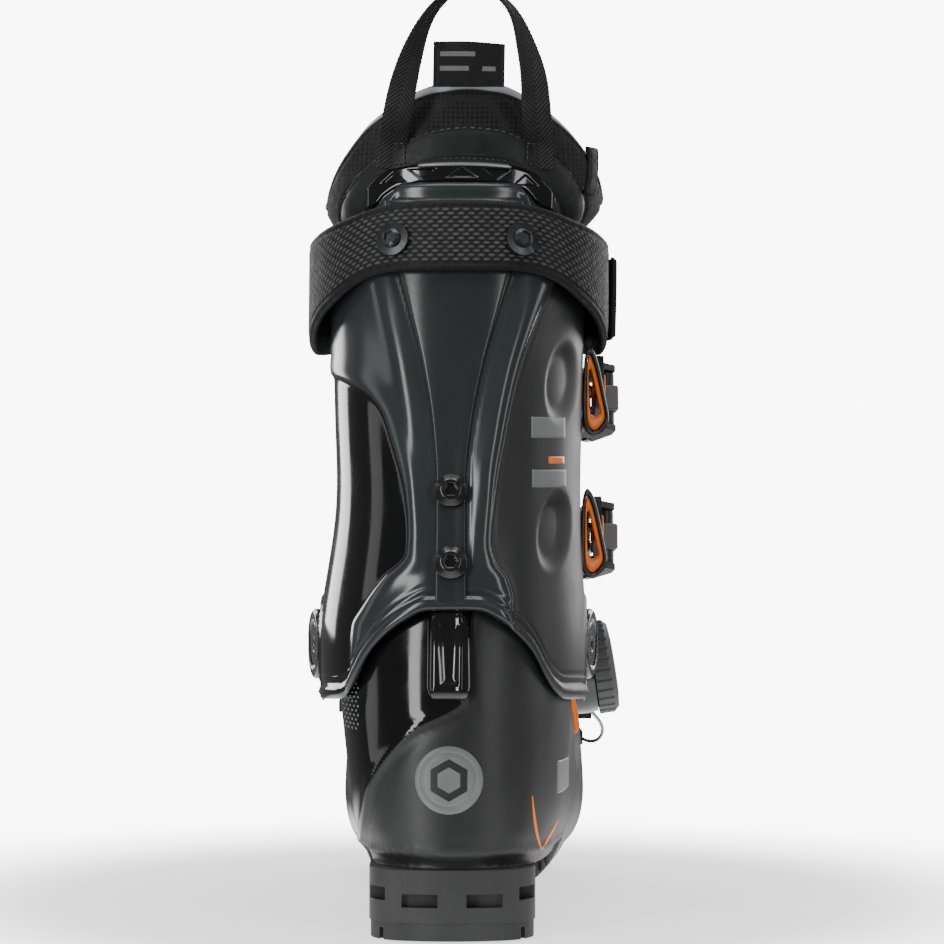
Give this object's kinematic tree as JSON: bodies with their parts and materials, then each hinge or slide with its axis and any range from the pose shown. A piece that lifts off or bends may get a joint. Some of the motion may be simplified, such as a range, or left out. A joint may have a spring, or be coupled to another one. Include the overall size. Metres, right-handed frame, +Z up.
{
  "type": "alpine ski boot",
  "caption": "Right alpine ski boot: hollow lower shell with lace dial, hinged cuff with two buckles, power strap, removable liner, screwed heel and toe soles.",
  "frame": {"origin": "mid-sole mark: halfway along the boot sole, on its centre line, on the plane the treads stand on", "axes": "+X lateral (outer side), +Y towards the toe, +Z up"},
  "size_m": [0.1415, 0.3071, 0.405],
  "materials": {
    "shell_plastic": "satin moulded, dark grey",
    "cuff_plastic": "gloss and satin zones, dark grey-green",
    "gloss_black": "gloss black",
    "sole_grip": "matte dark grey",
    "tread_rubber": "matte near-black",
    "bolt_metal": "black-coated steel",
    "pin_steel": "plain steel",
    "buckle_black": "satin black aluminium",
    "buckle_grey": "mid grey",
    "accent_orange": "orange",
    "inlay_grey": "light grey print",
    "dial_grey": "mid grey rubber grip",
    "dial_inner": "black nylon",
    "lace_steel": "coated steel cable",
    "board_plastic": "black board",
    "footbed_foam": "dark felt",
    "liner_fabric": "black padded synthetic and mesh",
    "strap_web": "black diamond-weave webbing",
    "label_fabric": "black woven"
  },
  "bodies": {
    "lower_boot": {"lower_shell": "shell_plastic", "instep_flap": "gloss_black", "heel_block": "sole_grip", "heel_pad": "tread_rubber", "toe_block": "sole_grip", "toe_pad": "tread_rubber", "sole_screws": "bolt_metal", "boot_board": "board_plastic", "liner_foot": "liner_fabric", "footbed": "footbed_foam", "spine_cap": "gloss_black", "heel_disc": "inlay_grey", "heel_accent": "accent_orange", "pivot_bolt_medial": "bolt_metal", "pivot_bolt_lateral": "bolt_metal", "pivot_nuts": "pin_steel", "dial_base": "gloss_black", "dial_lace": "lace_steel", "lace_guides": "dial_inner"},
    "cuff": {"cuff_shell": "cuff_plastic", "spine_insert": "cuff_plastic", "rear_bolts": "bolt_metal", "rear_nuts": "pin_steel", "liner_cuff": "liner_fabric", "tongue": "liner_fabric", "pull_loop": "strap_web", "label_tab": "label_fabric", "power_strap": "strap_web", "strap_studs": "bolt_metal", "upper_buckle_base": "buckle_black", "upper_hinge_pin": "pin_steel", "upper_rivets": "bolt_metal", "upper_ladder": "buckle_black", "lower_buckle_base": "buckle_black", "lower_hinge_pin": "pin_steel", "lower_rivets": "bolt_metal", "lower_ladder": "buckle_black"},
    "strap_end": {"strap_tab": "strap_web"},
    "upper_lever_body": {"upper_lever": "buckle_black", "upper_finger_liner": "accent_orange"},
    "upper_bail_body": {"upper_adjuster_barrel": "buckle_black", "upper_adjuster_block": "buckle_grey", "upper_bail": "buckle_black"},
    "lower_lever_body": {"lower_lever": "buckle_black", "lower_finger_liner": "accent_orange"},
    "lower_bail_body": {"lower_adjuster_barrel": "buckle_black", "lower_adjuster_block": "buckle_grey", "lower_bail": "buckle_black"},
    "dial_spool_body": {"dial_spool": "dial_inner"},
    "dial_knob_body": {"dial_knob": "dial_grey"}
  },
  "joints": [
    {"name": "cuff_flex", "type": "hinge", "parent": "lower_boot", "child": "cuff", "pos_m": [0, -0.058, 0.119], "axis": [-1, 0, 0], "range_deg": [0, 8], "stiffness_Nm_per_rad": 300},
    {"name": "upper_lever_open", "type": "hinge", "parent": "cuff", "child": "upper_lever_body", "pos_m": [0.06084, 0.00027, 0.22501], "axis": [0, 0.2334, 0.9724], "range_deg": [0, 120]},
    {"name": "upper_bail_turn", "type": "hinge", "parent": "upper_lever_body", "child": "upper_bail_body", "pos_m": [0.069, -0.01201, 0.22796], "axis": [0, 0.2334, 0.9724], "range_deg": [-120, 0]},
    {"name": "lower_lever_open", "type": "hinge", "parent": "cuff", "child": "lower_lever_body", "pos_m": [0.06063, -0.00384, 0.16203], "axis": [0, 0.2334, 0.9724], "range_deg": [0, 120]},
    {"name": "lower_bail_turn", "type": "hinge", "parent": "lower_lever_body", "child": "lower_bail_body", "pos_m": [0.06855, -0.01628, 0.16501], "axis": [0, 0.2334, 0.9724], "range_deg": [-120, 0]},
    {"name": "dial_turn", "type": "hinge", "parent": "lower_boot", "child": "dial_spool_body", "pos_m": [0.055, 0.008, 0.103], "axis": [0.9877, 0, 0.1564], "continuous": true},
    {"name": "dial_pull", "type": "slide", "parent": "dial_spool_body", "child": "dial_knob_body", "axis": [0.9877, 0, 0.1564], "range_m": [0, 0.004]},
    {"name": "strap_peel", "type": "hinge", "parent": "cuff", "child": "strap_end", "pos_m": [0.06211, 0.01307, 0.272], "axis": [0.0219, 0.175, 0.9843], "range_deg": [0, 60]}
  ],
  "couplings": [
    {"joint": "upper_bail_turn", "follows": "upper_lever_open", "ratio": -1},
    {"joint": "lower_bail_turn", "follows": "lower_lever_open", "ratio": -1}
  ]
}
